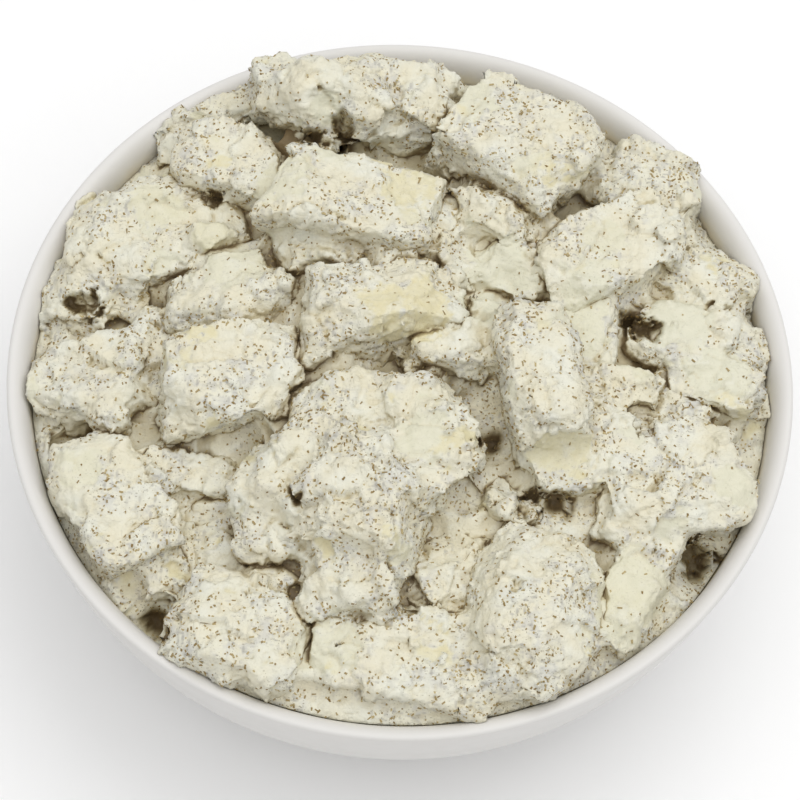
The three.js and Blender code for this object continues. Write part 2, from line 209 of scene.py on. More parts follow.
# Every piece that shows, in the clusters that are dressed together, in millimetres
# and degrees. Level is measured from the rim. Yaw is about +Z, pitch about the piece's
# width and roll about its length. cut picks its own set of knife cuts.
CLUSTERS = {
    "back_left": [
        # name, [x, y, level], [length, width, height], [yaw, pitch, roll], kind, cut
        ("back_left_high", (-22, 72, 13), (27, 20, 18), (10, 0, -6), "lump", 1),
        ("back_left_knob", (-38, 78, 7), (16, 15, 20), (0, 0, 0), "lump", 64),
        ("back_centre", (-4, 75, 5), (32, 22, 21), (0, 0, 0), "lump", 2),
        ("back_left_block", (-47, 52, 3), (30, 21, 20), (-15, 0, -8), "block", 3),
        ("back_left_low", (-50, 75, -5), (34, 12, 14), (35, 0, 0), "lump", 4),
        ("left_tip", (-79, 40, -4), (12, 10, 10), (0, 0, 0), "lump", 53),
    ],
    "big_slab": [
        ("big_slab", (-17, 40, 11), (44, 27, 20), (-9, 4, -10), "block", 5),
        ("slab_foot", (-21, 28, 6), (28, 12, 13), (-5, 0, 0), "lump", 61),
        ("slab_end", (0, 34, 6), (22, 14, 14), (0, 0, 0), "lump", 60),
        ("knob_mid_back", (21, 41, 6), (24, 16, 16), (0, 0, 0), "lump", 7),
        ("speckled_bit", (13, 28, 4), (14, 12, 12), (0, 0, 0), "lump", 51),
    ],
    "back_right": [
        ("right_back_big", (25, 61, 7), (38, 31, 28), (-28, 0, -8), "block", 6),
        ("right_rim_chunk", (61, 57, -2), (26, 24, 18), (60, 0, 0), "block", 8),
        ("rim_gap_lump", (68, 44, -5), (18, 14, 14), (0, 0, 0), "lump", 52),
    ],
    "right": [
        ("right_smooth", (51, 36, 4), (40, 24, 18), (30, 0, -6), "block", 9),
        ("right_lumps", (76, 33, -4), (28, 20, 16), (-20, 0, 0), "lump", 10),
        ("right_broken", (72, 14, 0), (27, 18, 14), (-10, 0, 0), "block", 11),
        ("right_broken_low", (80, 1, 0), (24, 15, 12), (-15, 0, 0), "block", 62),
        ("right_broken_wall", (88, 12, -5), (18, 13, 13), (75, 0, 0), "lump", 63),
        ("right_wall_low", (87, 0, -9), (14, 20, 12), (0, 0, 0), "lump", 48),
    ],
    "centre_right": [
        ("pale_flake", (26, 28, 4), (24, 15, 12), (-20, 0, 0), "lump", 12),
        ("ragged_flake", (45, 16, 1), (30, 16, 12), (85, 0, 0), "block", 13),
        ("centre_right_long", (35, -7, 8), (43, 19, 24), (-75, 0, 0), "block", 14),
        ("pale_bit", (20, 14, 6), (10, 7, 8), (0, 0, 0), "block", 50),
        ("right_flap", (55, -3, 4), (20, 10, 8), (-12, 0, 0), "block", 46),
        ("right_centre_lower", (46, -20, 1), (28, 23, 18), (20, 0, 0), "block", 37),
        ("between_lumps", (11, 3, 6), (28, 14, 16), (0, 0, 0), "lump", 45),
    ],
    "mid": [
        ("mid_block", (-6, 11, 9), (40, 24, 21), (13, 4, -10), "block", 15),
    ],
    "left_mid": [
        ("left_mid_round", (-42, -10, 5), (35, 27, 22), (12, 0, 0), "block", 16),
        ("left_upper_mid", (-43, 14, 3), (33, 18, 16), (10, 0, 0), "lump", 17),
        ("bare_flake", (-44, 22, 7), (16, 10, 8), (10, 0, 0), "block", 18),
    ],
    "left": [
        ("upper_left_big", (-65, 33, -3), (43, 29, 21), (22, 0, -8), "block", 19),
        ("upper_left_low", (-76, 23, -9), (34, 22, 20), (25, 0, 0), "lump", 56),
        ("upper_left_ridge", (-68, 45, 1), (28, 11, 12), (22, 0, 0), "lump", 57),
        ("left_wall_lump", (-84, 14, -10), (22, 15, 15), (75, 0, 0), "lump", 20),
        ("left_ragged", (-74, -7, -7), (34, 26, 22), (15, 0, 0), "lump", 21),
        ("left_lobe", (-60, 5, -4), (18, 16, 14), (0, 0, 0), "lump", 22),
        ("onion_dice", (-72, -20, 1), (9, 9, 8), (45, 0, 0), "block", 44),
        ("onion_square", (-50, 31, 8), (11, 8, 7), (40, 10, 15), "block", 58),
    ],
    "front_left": [
        ("lower_left_block", (-68, -43, -4), (34, 22, 20), (-55, 0, 0), "block", 23),
        ("small_knob", (-55, -60, -4), (10, 10, 10), (0, 0, 0), "lump", 24),
        ("strip_chunk", (-50, -33, -2), (27, 10, 10), (-3, 0, 0), "block", 25),
        ("low_mid_left", (-42, -49, -9), (36, 26, 18), (-30, 0, 0), "lump", 26),
        ("front_left", (-35, -75, -4), (35, 26, 19), (-18, 0, 0), "block", 27),
        ("low_front_left", (-29, -62, -7), (24, 18, 14), (20, 0, 0), "lump", 28),
    ],
    "centre_mass": [
        ("centre_top", (-14, -19, 6), (30, 20, 20), (8, 0, 0), "lump", 32),
        ("centre_edge", (8, -24, 10), (36, 19, 18), (-62, 0, 0), "lump", 31),
        ("bright_shard", (7, -28, 17), (22, 9, 6), (72, 0, 8), "block", 55),
        ("centre_main", (-7, -42, 8), (34, 34, 26), (80, 0, 0), "lump", 30),
        ("centre_left_lumps", (-28, -37, 4), (26, 19, 18), (80, 0, 0), "lump", 29),
        ("column_lump", (-27, -48, 3), (16, 14, 12), (20, 0, 0), "lump", 54),
        ("centre_column", (-8, -60, 2), (24, 27, 22), (85, 0, 0), "lump", 33),
    ],
    "low_middle": [
        ("low_mid_right", (14, -55, -6), (28, 28, 20), (70, 0, 0), "lump", 35),
        ("low_hollow_lump", (24, -35, -4), (20, 16, 13), (-20, 0, 0), "lump", 36),
        ("onion_strip", (30, -39, 4), (13, 6, 5), (-10, 0, 0), "block", 49),
    ],
    "front": [
        ("front_centre", (3, -77, -5), (43, 28, 20), (-8, 0, 0), "block", 34),
        ("front_right_barrel", (36, -65, 0), (44, 31, 27), (82, 0, 0), "barrel", 38),
    ],
    "right_front": [
        ("right_lower_big", (69, -26, 0), (33, 28, 20), (20, 0, 0), "block", 39),
        ("right_leg", (66, -43, -3), (30, 12, 16), (62, 0, 0), "block", 40),
        ("bare_face", (60, -57, -6), (28, 15, 18), (68, 0, 0), "block", 41),
        ("round_knob", (57, -40, -2), (13, 13, 12), (0, 0, 0), "lump", 42),
        ("tiny_lump", (52, -70, -12), (12, 12, 8), (0, 0, 0), "lump", 43),
        ("behind_right_lower", (67, -8, -4), (30, 14, 14), (10, 0, 0), "lump", 47),
    ],
}

# Nooks in the salad that is banked up against the wall: [x, y], radius
WALL_NOOKS = [
    ((78, -46), 12),
    ((51, -73), 9),
    ((-56, -72), 11),
    ((28, -86), 7),
    ((-82, -23), 7),
]

# Deep holes between the pieces: [x, y, level], radius and depth along the line of sight
PITS = [
    ((-82, 15, -4), 4.2, 6),
    ((-51, 47, 0), 2.6, 5),
    ((-27, 64, 5), 3.0, 6),
    ((-19, 67, 6), 3.0, 6),
    ((60, 18, -2), 4.0, 9),
    ((-23, -40, 6), 1.5, 4),
    ((23, -19, 0), 3.0, 6),
    ((34, -36, 0), 3.6, 6),
    ((41, -35, 0), 3.4, 6),
    ((76, -44, -8), 4.5, 9),
    ((-56, -71, -8), 3.2, 7),
]

# Where the knife's face shows with no dressing on it: [x, y, level], radius, and how
# yellow the flesh is there, from 0, pale and wet, to 1, dry and buttery.
BARE_SPOTS = [
    ((-5, 7, 18), 8, 1.0),
    ((4, 8, 18), 8, 1.0),
    ((-1, 45, 20), 8, 0.8),
    ((-33, 42, 16), 9, 0.2),
    ((24, 27, 9), 9, 0.0),
    ((20, 14, 10), 7, 0.0),
    ((-44, 22, 11), 8, 0.15),
    ((-50, 31, 12), 6, 0.4),
    ((50, 36, 11), 6, 0.2),
    ((70, 16, 7), 9, 0.0),
    ((80, 1, 6), 9, 0.0),
    ((45, 24, 7), 8, 0.0),
    ((44, 12, 7), 8, 0.1),
    ((60, -58, 3), 11, 0.2),
    ((58, -64, 1), 8, 0.1),
    ((-14, -78, 3), 8, 0.1),
    ((14, 70, 16), 7, 0.1),
    ((31, 80, 12), 8, 0.9),
    ((-66, 40, 6), 7, 0.3),
    ((-56, -8, 12), 6, 0.7),
    ((-78, -36, 5), 6, 0.2),
    ((40, -22, 9), 8, 0.6),
    ((84, -30, 6), 6, 0.1),
    ((7, -28, 20), 7, 0.1),
    ((-22, 52, 16), 5, 0.0),
]


# ---- helpers ----

def seeded_draw(seed):
    """A draw between 0 and 1 that gives the same numbers every time."""
    modulus = 2147483647
    state = (seed * 7919 + 17) % modulus

    def draw():
        nonlocal state
        state = state * 16807 % modulus
        return state / modulus

    for _ in range(3):
        draw()
    return draw


def only(*pieces):
    """Selects these pieces alone, the first of them active."""
    bpy.ops.object.select_all(action="DESELECT")
    for piece in pieces:
        piece.select_set(True)
    bpy.context.view_layer.objects.active = pieces[0]


def finish_with(piece, kind, **settings):
    """Gives a piece one modifier and applies it."""
    modifier = piece.modifiers.new(kind.lower(), kind)
    for name, value in settings.items():
        setattr(modifier, name, value)
    only(piece)
    bpy.ops.object.modifier_apply(modifier=modifier.name)


def remesh(piece, voxel):
    finish_with(piece, "REMESH", mode="VOXEL", voxel_size=voxel)


def join(name, pieces):
    """Makes one piece of several, with its place in its mesh."""
    only(*pieces)
    if len(pieces) > 1:
        bpy.ops.object.join()
    joined = bpy.context.active_object
    bpy.ops.object.transform_apply(location=True, rotation=True, scale=True)
    joined.name = name
    joined.data.name = name
    return joined


def paint(red, green, blue):
    """A colour in shares of 255, as the light that it reflects."""
    def linear(value):
        share = value / 255
        return share / 12.92 if share <= 0.04045 else ((share + 0.055) / 1.055) ** 2.4
    return (linear(red), linear(green), linear(blue), 1.0)


def at_level(spot):
    """A place given in millimetres, with its level measured from the rim."""
    return Vector((spot[0] * MM, spot[1] * MM, RIM_LEVEL + spot[2] * MM))


class Wiring:
    """Adds nodes to a tree, each joined up to what feeds it."""

    def __init__(self, tree):
        self.tree = tree

    def feed(self, node, inlets):
        """Joins up or sets inlets of a node."""
        for name, value in inlets.items():
            if isinstance(value, bpy.types.NodeSocket):
                self.tree.links.new(value, node.inputs[name])
            else:
                node.inputs[name].default_value = value

    def add(self, kind, inlets=None, outlet=0, **settings):
        made = self.tree.nodes.new(kind)
        for name, value in settings.items():
            setattr(made, name, value)
        self.feed(made, inlets or {})
        return made.outputs[outlet]

    def maths(self, operation, first, second=0.0, third=0.0):
        inlets = {0: first, 1: second, 2: third}
        return self.add("ShaderNodeMath", inlets, operation=operation)

    def plus(self, first, second):
        return self.maths("ADD", first, second)

    def minus(self, first, second):
        return self.maths("SUBTRACT", first, second)

    def times(self, first, second):
        return self.maths("MULTIPLY", first, second)

    def times_plus(self, first, second, third):
        """The first times the second, and the third on top."""
        return self.maths("MULTIPLY_ADD", first, second, third)

    def vector(self, operation, first, second=(0.0, 0.0, 0.0), outlet=0):
        return self.add("ShaderNodeVectorMath", {0: first, 1: second}, outlet, operation=operation)

    def scaled(self, vector, share):
        return self.add("ShaderNodeVectorMath", {0: vector, "Scale": share}, operation="SCALE")

    def length(self, vector):
        return self.vector("LENGTH", vector, outlet="Value")

    def split(self, vector):
        return self.add("ShaderNodeSeparateXYZ", {0: vector}).node.outputs

    def point(self, x=0.0, y=0.0, z=0.0):
        return self.add("ShaderNodeCombineXYZ", {0: x, 1: y, 2: z})

    def ramp(self, value, low, high, start=0.0, end=1.0):
        """Start below low, end above high, and a soft change between."""
        inlets = {0: value, 1: low, 2: high, 3: start, 4: end}
        return self.add("ShaderNodeMapRange", inlets, interpolation_type="SMOOTHSTEP")

    def noise(self, place, size, detail=2.0, rough=0.5, shift=0.0, kind="FBM"):
        """Cloudy noise about 0.5, with features of this size."""
        moved = self.vector("ADD", place, (shift, shift, shift))
        inlets = {"Vector": moved, "Scale": 1 / size, "Detail": detail, "Roughness": rough}
        return self.add("ShaderNodeTexNoise", inlets, noise_type=kind)

    def cells(self, place, size, shift=0.0, feature="F1", outlet="Distance"):
        """Distance to the nearest of many scattered points, in shares of their spacing."""
        inlets = {"Vector": self.vector("ADD", place, (shift, shift, shift)), "Scale": 1 / size}
        return self.add("ShaderNodeTexVoronoi", inlets, outlet, feature=feature)

    def mix(self, share, first, second):
        """One colour into another."""
        inlets = {0: share, 6: first, 7: second}
        return self.add("ShaderNodeMix", inlets, 2, data_type="RGBA")

    def stored(self, name):
        """In a finish, a value that a piece keeps under this name."""
        return self.add("ShaderNodeAttribute", outlet="Fac", attribute_name=name)

    def store(self, geometry, name, value, kind="FLOAT", domain="POINT"):
        """In a shape, keeps a value under this name."""
        inlets = {"Geometry": geometry, "Name": name, "Value": value}
        settings = {"data_type": kind, "domain": domain}
        return self.add("GeometryNodeStoreNamedAttribute", inlets, **settings)

    def place(self):
        return self.add("GeometryNodeInputPosition")

    def facing(self):
        return self.add("GeometryNodeInputNormal")

    def shifted(self, geometry, offset):
        return self.add("GeometryNodeSetPosition", {0: geometry, "Offset": offset})

    def draw(self, low, high, seed=0):
        """A draw between two numbers, or between two vectors, for each point."""
        kind = "FunctionNodeRandomValue"
        if isinstance(low, tuple):
            return self.add(kind, {0: low, 1: high, "Seed": seed}, data_type="FLOAT_VECTOR")
        return self.add(kind, {2: low, 3: high, "Seed": seed}, 1, data_type="FLOAT")

    def points_on(self, mesh, density, seed=0):
        """Points strewn over a mesh, so many for each square metre."""
        inlets = {"Mesh": mesh, "Density": density, "Seed": seed}
        return self.add("GeometryNodeDistributePointsOnFaces", inlets).node.outputs

    def realized(self, instances):
        return self.add("GeometryNodeRealizeInstances", {0: instances})

    def together(self, *geometries):
        joined = self.tree.nodes.new("GeometryNodeJoinGeometry")
        for geometry in geometries:
            self.tree.links.new(geometry, joined.inputs[0])
        return joined.outputs[0]


def shaping(name):
    """A tree of geometry nodes with one mesh going in and one coming out."""
    tree = bpy.data.node_groups.new(name, "GeometryNodeTree")
    tree.interface.new_socket("Geometry", in_out="INPUT", socket_type="NodeSocketGeometry")
    tree.interface.new_socket("Geometry", in_out="OUTPUT", socket_type="NodeSocketGeometry")
    wiring = Wiring(tree)
    start = wiring.add("NodeGroupInput")
    return wiring, start


def end_with(wiring, geometry):
    end = wiring.tree.nodes.new("NodeGroupOutput")
    wiring.feed(end, {0: geometry})
    return wiring.tree


def new_finish(name):
    """A new material, what wires it, its shader, and the place of each point."""
    material = bpy.data.materials.new(name)
    material.use_nodes = True
    wiring = Wiring(material.node_tree)
    shader = material.node_tree.nodes["Principled BSDF"]
    place = wiring.add("ShaderNodeTexCoord", outlet="Object")
    return material, wiring, shader, place


# ---- the bowl ----

def wall_curve(radius, top, bottom, from_radius):
    """A tapered wall that rounds off into the floor: a quarter of a squared-off
    ellipse, from the foot up to the lip, that draws in as it goes down."""
    depth = top - bottom
    start = math.asin(((from_radius + BODY_TAPER * depth) / radius) ** (BODY_POWER / 2))
    points = []
    for step in range(WALL_STEPS + 1):
        angle = start + (math.pi / 2 - start) * step / WALL_STEPS
        down = depth * max(0.0, math.cos(angle)) ** (2 / BODY_POWER)
        across = radius * math.sin(angle) ** (2 / BODY_POWER) - BODY_TAPER * down
        points.append((across, top - down))
    return points


def lip_curve():
    """The rounded outer edge, then the inner side that rolls over into the bowl."""
    outer = [math.pi / 2 * step / EDGE_STEPS for step in range(1, EDGE_STEPS)]
    inner = [math.pi / 2 * (1 - step / LIP_STEPS) for step in range(LIP_STEPS)]
    edge_level = RIM_LEVEL - LIP_EDGE
    edge = [(LIP_CENTRE + LIP_EDGE * math.cos(a), edge_level + LIP_EDGE * math.sin(a)) for a in outer]
    roll = [(LIP_CENTRE - LIP_WIDTH * math.cos(a), LIP_LEVEL + LIP_DROP * math.sin(a)) for a in inner]
    return [*edge, *roll]


def bowl_profile():
    inside = wall_curve(INNER_RADIUS, LIP_LEVEL, FLOOR_LEVEL, FLOOR_RADIUS)
    return [
        (0.0, UNDERSIDE),
        (FOOT_INNER, UNDERSIDE),
        (FOOT_INNER + FOOT_CHAMFER, 0.0),
        (FOOT_OUTER - FOOT_CHAMFER, 0.0),
        *wall_curve(BOWL_RADIUS, RIM_LEVEL - LIP_EDGE, UNDERSIDE, FOOT_OUTER),
        *lip_curve(),
        *reversed(inside),
        (0.0, FLOOR_LEVEL),
    ]


def turn_bowl():
    """Draws the profile out point by point and spins it about the bowl's axis."""
    profile = bowl_profile()
    first = profile[0]
    bpy.ops.mesh.primitive_plane_add(size=MM, location=(first[0], 0, first[1]))
    bowl = bpy.context.active_object
    bpy.ops.object.transform_apply(location=True)
    bpy.ops.object.mode_set(mode="EDIT")
    bpy.ops.mesh.select_all(action="SELECT")
    bpy.ops.mesh.merge(type="CENTER")
    for here, there in zip(profile, profile[1:]):
        step = (there[0] - here[0], 0, there[1] - here[1])
        bpy.ops.mesh.extrude_region_move(TRANSFORM_OT_translate={"value": step})
    bpy.ops.mesh.select_all(action="SELECT")
    bpy.ops.mesh.spin(steps=BOWL_TURNS, angle=2 * math.pi, center=(0, 0, 0), axis=(0, 0, 1))
    bpy.ops.mesh.select_all(action="SELECT")
    bpy.ops.mesh.remove_doubles(threshold=0.01 * MM)
    bpy.ops.mesh.normals_make_consistent(inside=False)
    bpy.ops.object.mode_set(mode="OBJECT")
    bpy.ops.object.shade_smooth_by_angle(angle=math.radians(35))
    return join("bowl_glazed", [bowl])


def glaze():
    """White glaze, faintly cloudy, with painted warm shade down the inner wall where the salad shades
    it, also standing for a thin oily film there.
    """
    material, wiring, shader, place = new_finish("bowl_glaze")
    cloud = wiring.noise(place, 45 * MM, detail=3)
    fine = wiring.noise(place, 4 * MM, detail=2, shift=3)
    colour = wiring.mix(cloud, paint(225, 223, 220), paint(220, 218, 214))
    x, y, z = wiring.split(place)
    out = wiring.length(wiring.point(x, y))
    depth = wiring.minus(RIM_LEVEL, z)
    untapered = wiring.times_plus(depth, BODY_TAPER, out)
    inside = wiring.ramp(untapered, *GLAZE_BAND, 1.0, 0.0)
    inside = wiring.times(inside, wiring.ramp(depth, 30 * MM, 36 * MM, 1.0, 0.0))
    film_and_shade_edge = wiring.noise(place, 7 * MM, detail=3, shift=7)
    film_and_shade_depth = wiring.times_plus(film_and_shade_edge, 8 * MM, depth)
    # Painted shade: the inner wall below the salad's top is tinted warm and darker for the shade that
    # the salad casts there, and for a thin film of dressing.
    film = wiring.times(inside, wiring.ramp(film_and_shade_depth, 7 * MM, 17 * MM, 0.0, 0.85))
    colour = wiring.mix(film, colour, paint(204, 186, 140))
    shine = wiring.ramp(fine, 0.2, 0.8, 0.3, 0.4)
    wiring.feed(shader, {"Base Color": colour, "Roughness": shine, "Specular IOR Level": 0.3})
    return material


# ---- the pieces of potato ----

def knife_cuts(kind, draw):
    """The faces of one piece and the cuts across its corners and edges, each a
    direction and how far out it lies, for a block from -1 to 1 along each axis."""
    habit = KINDS[kind]
    cuts = []

    def add_cut(x, y, z, reach):
        share = [habit["lean"] * (2 * draw() - 1) for _ in range(3)]
        cuts.append((Vector((x + share[0], y + share[1], z + share[2])), reach))

    for side in (-1, 1):
        add_cut(side, 0, 0, 1)
        add_cut(0, side, 0, 1)
        add_cut(0, 0, side, 1)
    for one in (-1, 1):
        for other in (-1, 1):
            add_cut(one, other, 0, habit["edge"] + habit["spread"] * draw())
            add_cut(one, 0, other, habit["edge"] + habit["spread"] * draw())
            add_cut(0, one, other, habit["edge"] + habit["spread"] * draw())
            add_cut(one, other, -1, habit["corner"] + habit["spread"] * draw())
            add_cut(one, other, 1, habit["corner"] + habit["spread"] * draw())
    return cuts


def cut_block(cuts):
    """A block cut off by every cut in turn."""
    bpy.ops.mesh.primitive_cube_add(size=3)
    block = bpy.context.active_object
    bpy.ops.object.mode_set(mode="EDIT")
    for facing, reach in cuts:
        bpy.ops.mesh.select_all(action="SELECT")
        on_cut = facing * (reach / facing.length_squared)
        bpy.ops.mesh.bisect(plane_co=on_cut, plane_no=facing, use_fill=True, clear_outer=True)
    bpy.ops.object.mode_set(mode="OBJECT")
    return block


def knob(kind, cuts, draw, matrix):
    """A small knob of mash on the upper side of a piece."""
    around = 2 * math.pi * draw()
    up = KNOB_RISE * draw()
    out = math.sqrt(1 - up * up)
    direction = Vector((out * math.cos(around), out * math.sin(around), up))
    reach = min(reach / max(1e-6, facing.dot(direction)) for facing, reach in cuts)
    place = matrix @ (direction * (KNOB_SINK * reach))
    size = KNOB_SIZE[0] + (KNOB_SIZE[1] - KNOB_SIZE[0]) * draw()
    width = KNOB_THINNEST + (1 - KNOB_THINNEST) * draw()
    height = KNOB_THINNEST + (1 - KNOB_THINNEST) * draw()
    bpy.ops.mesh.primitive_ico_sphere_add(subdivisions=2, radius=size / 2, location=place)
    made = bpy.context.active_object
    made.rotation_euler = (0, 0, around)
    made.scale = (1, width, height)
    return made


def proudness(wiring, place, facing, passes):
    """How far each point stands out from the evened-out surface round it."""
    inlets = {"Value": place, "Iterations": passes}
    even = wiring.add("GeometryNodeBlurAttribute", inlets, data_type="FLOAT_VECTOR")
    return wiring.vector("DOT_PRODUCT", wiring.vector("SUBTRACT", place, even), facing, "Value")


def swelling(kind):
    """Faces that wander in and out, and crumbs of dressing along the edges."""
    habit = KINDS[kind]
    wiring, start = shaping("swelling_" + kind)
    place = wiring.place()
    facing = wiring.facing()
    broad = wiring.noise(place, 15 * MM, detail=1.5, rough=0.45)
    near = wiring.noise(place, 6 * MM, detail=2, rough=0.5, shift=2)
    wander = wiring.plus(wiring.minus(broad, 0.5), wiring.times(wiring.minus(near, 0.5), 0.4))
    bites = wiring.cells(place, 11 * MM, shift=5)
    wander = wiring.times_plus(wiring.minus(bites, 0.5), 0.45, wander)
    offset = wiring.scaled(facing, wiring.times(wander, habit["swell"] * 2))
    swollen = wiring.shifted(start, offset)

    edge = wiring.ramp(proudness(wiring, place, facing, 10), *EDGE_BAND)
    bunch = wiring.ramp(wiring.noise(place, 11 * MM, detail=1, shift=7), 0.45, 0.6)
    density = wiring.times_plus(edge, 3.0, bunch)
    density = wiring.times(density, habit["crumbs"])
    points = wiring.points_on(swollen, density)
    crumb = wiring.add("GeometryNodeMeshIcoSphere", {"Radius": CRUMB_RADIUS, "Subdivisions": 2})
    inlets = {
        "Points": points["Points"], "Instance": crumb, "Rotation": points["Rotation"],
        "Scale": wiring.draw(SMALLEST_CRUMB, LARGEST_CRUMB),
    }
    crumbs = wiring.add("GeometryNodeInstanceOnPoints", inlets)
    spin = wiring.draw((0, 0, 0), (0.6, 0.6, FULL_TURN), 5)
    turned = wiring.add("GeometryNodeRotateInstances", {"Instances": crumbs, "Rotation": spin})
    return end_with(wiring, wiring.together(wiring.realized(turned), swollen))


def potato_piece(entry, swellings):
    """One block or lump in its place, rounded off, swollen and crumbed."""
    name, place, size, turn, kind, cut = entry
    draw = seeded_draw(cut)
    cuts = knife_cuts(kind, draw)
    yaw, pitch, roll = [math.radians(angle) for angle in turn]
    centre = at_level(place)
    half = Vector(size) * (MM / 2)
    turned = Euler((roll, pitch, yaw))
    matrix = Matrix.LocRotScale(centre, turned, half)
    block = cut_block(cuts)
    block.location = centre
    block.rotation_euler = turned
    block.scale = half
    knobs = [knob(kind, cuts, draw, matrix) for _ in range(KINDS[kind]["knobs"])]
    piece = join(name, [block, *knobs])
    remesh(piece, BLOCK_VOXEL)
    finish_with(piece, "SMOOTH", factor=0.5, iterations=KINDS[kind]["softness"])
    finish_with(piece, "NODES", node_group=swellings[kind])
    return piece


# ---- the dressing that coats them ----

def kept_in_bowl(wiring, geometry):
    """Holds every point of the salad inside the bowl's wall and the roll of its lip."""
    place = wiring.place()
    x, y, z = wiring.split(place)
    out = wiring.length(wiring.point(x, y))
    room = INNER_RADIUS - GAP_TO_BOWL
    floor = FLOOR_LEVEL + GAP_TO_BOWL
    depth = wiring.maths("MAXIMUM", wiring.minus(LIP_LEVEL, z), 0.0)
    down = wiring.maths("MINIMUM", wiring.maths("DIVIDE", depth, LIP_LEVEL - floor), 0.999)
    powered = wiring.minus(1.0, wiring.maths("POWER", down, BODY_POWER))
    below = wiring.times(wiring.maths("POWER", powered, 1 / BODY_POWER), room)
    below = wiring.times_plus(depth, -BODY_TAPER, below)
    over = wiring.maths("MAXIMUM", wiring.minus(z, LIP_LEVEL), 0.0)
    over = wiring.maths("MINIMUM", wiring.maths("DIVIDE", over, LIP_DROP + GAP_TO_BOWL), 1.0)
    rolled = wiring.maths("SQRT", wiring.minus(1.0, wiring.times(over, over)))
    above = wiring.times_plus(rolled, -LIP_WIDTH - GAP_TO_BOWL, LIP_CENTRE)
    is_above = wiring.maths("GREATER_THAN", z, LIP_LEVEL)
    allowed = wiring.times_plus(is_above, wiring.minus(above, below), below)
    share = wiring.maths("MINIMUM", wiring.maths("DIVIDE", allowed, out), 1.0)
    raised = wiring.maths("MAXIMUM", z, floor)
    held = wiring.point(wiring.times(x, share), wiring.times(y, share), raised)
    return wiring.add("GeometryNodeSetPosition", {0: geometry, "Position": held})


def bareness(wiring, place, thick):
    """How bare each point is of dressing, and how yellow its flesh is, both 0 to 1."""
    ragged = wiring.noise(place, 4.5 * MM, detail=4, rough=0.6, shift=11)
    bare = 0.0
    yellow = 0.0
    for spot, radius, tint in BARE_SPOTS:
        away = wiring.vector("DISTANCE", place, at_level(spot), "Value")
        reach = wiring.times_plus(ragged, -1.8 * radius * MM, 1.9 * radius * MM)
        here = wiring.ramp(wiring.minus(away, reach), -1.0 * MM, 0.8 * MM, 1.0, 0.0)
        bare = wiring.maths("MAXIMUM", here, bare)
        yellow = wiring.times_plus(here, tint, yellow)
    patch = wiring.noise(place, 13 * MM, detail=3, rough=0.6, shift=17)
    spread = wiring.ramp(patch, 0.6, 0.66)
    spread = wiring.times(spread, wiring.ramp(thick, 0.55, 0.95, 1.0, 0.1))
    bare = wiring.times(bare, wiring.ramp(thick, 0.7, 1.0, 1.0, 0.6))
    bare = wiring.maths("MAXIMUM", bare, spread)
    hue = wiring.ramp(wiring.noise(place, 20 * MM, detail=1, shift=23), 0.42, 0.6)
    yellow = wiring.maths("MAXIMUM", yellow, wiring.times(spread, hue))
    return bare, wiring.maths("MINIMUM", yellow, 1.0)


def brim_drop(wiring, y):
    """How far below the rim the salad is banked against the wall."""
    return wiring.ramp(y, *FRONT_BAND, BANK_AT_FRONT, BANK_BELOW_RIM)


def under_brim(wiring, place):
    """Which points lie lower than the salad is banked against the wall."""
    _, y, z = wiring.split(place)
    above = wiring.plus(brim_drop(wiring, y), wiring.minus(z, RIM_LEVEL))
    return wiring.ramp(above, *BRIM_BAND, 1.0, 0.0)


def pitted(wiring, geometry):
    """Sinks the deep holes that show between the pieces."""
    place = wiring.place()
    ragged = wiring.noise(place, 6 * MM, detail=4, rough=0.6, shift=61)
    deep = 0.0
    for spot, radius, depth in PITS:
        from_spot = wiring.vector("SUBTRACT", place, at_level(spot))
        away = wiring.length(wiring.vector("CROSS_PRODUCT", from_spot, LINE_OF_SIGHT))
        away = wiring.times_plus(wiring.minus(ragged, 0.5), 3.6 * radius * MM, away)
        here = wiring.ramp(away, 0.5 * radius * MM, 1.2 * radius * MM, depth * MM, 0.0)
        deep = wiring.maths("MAXIMUM", here, deep)
    return wiring.shifted(geometry, wiring.scaled(LINE_OF_SIGHT, deep))


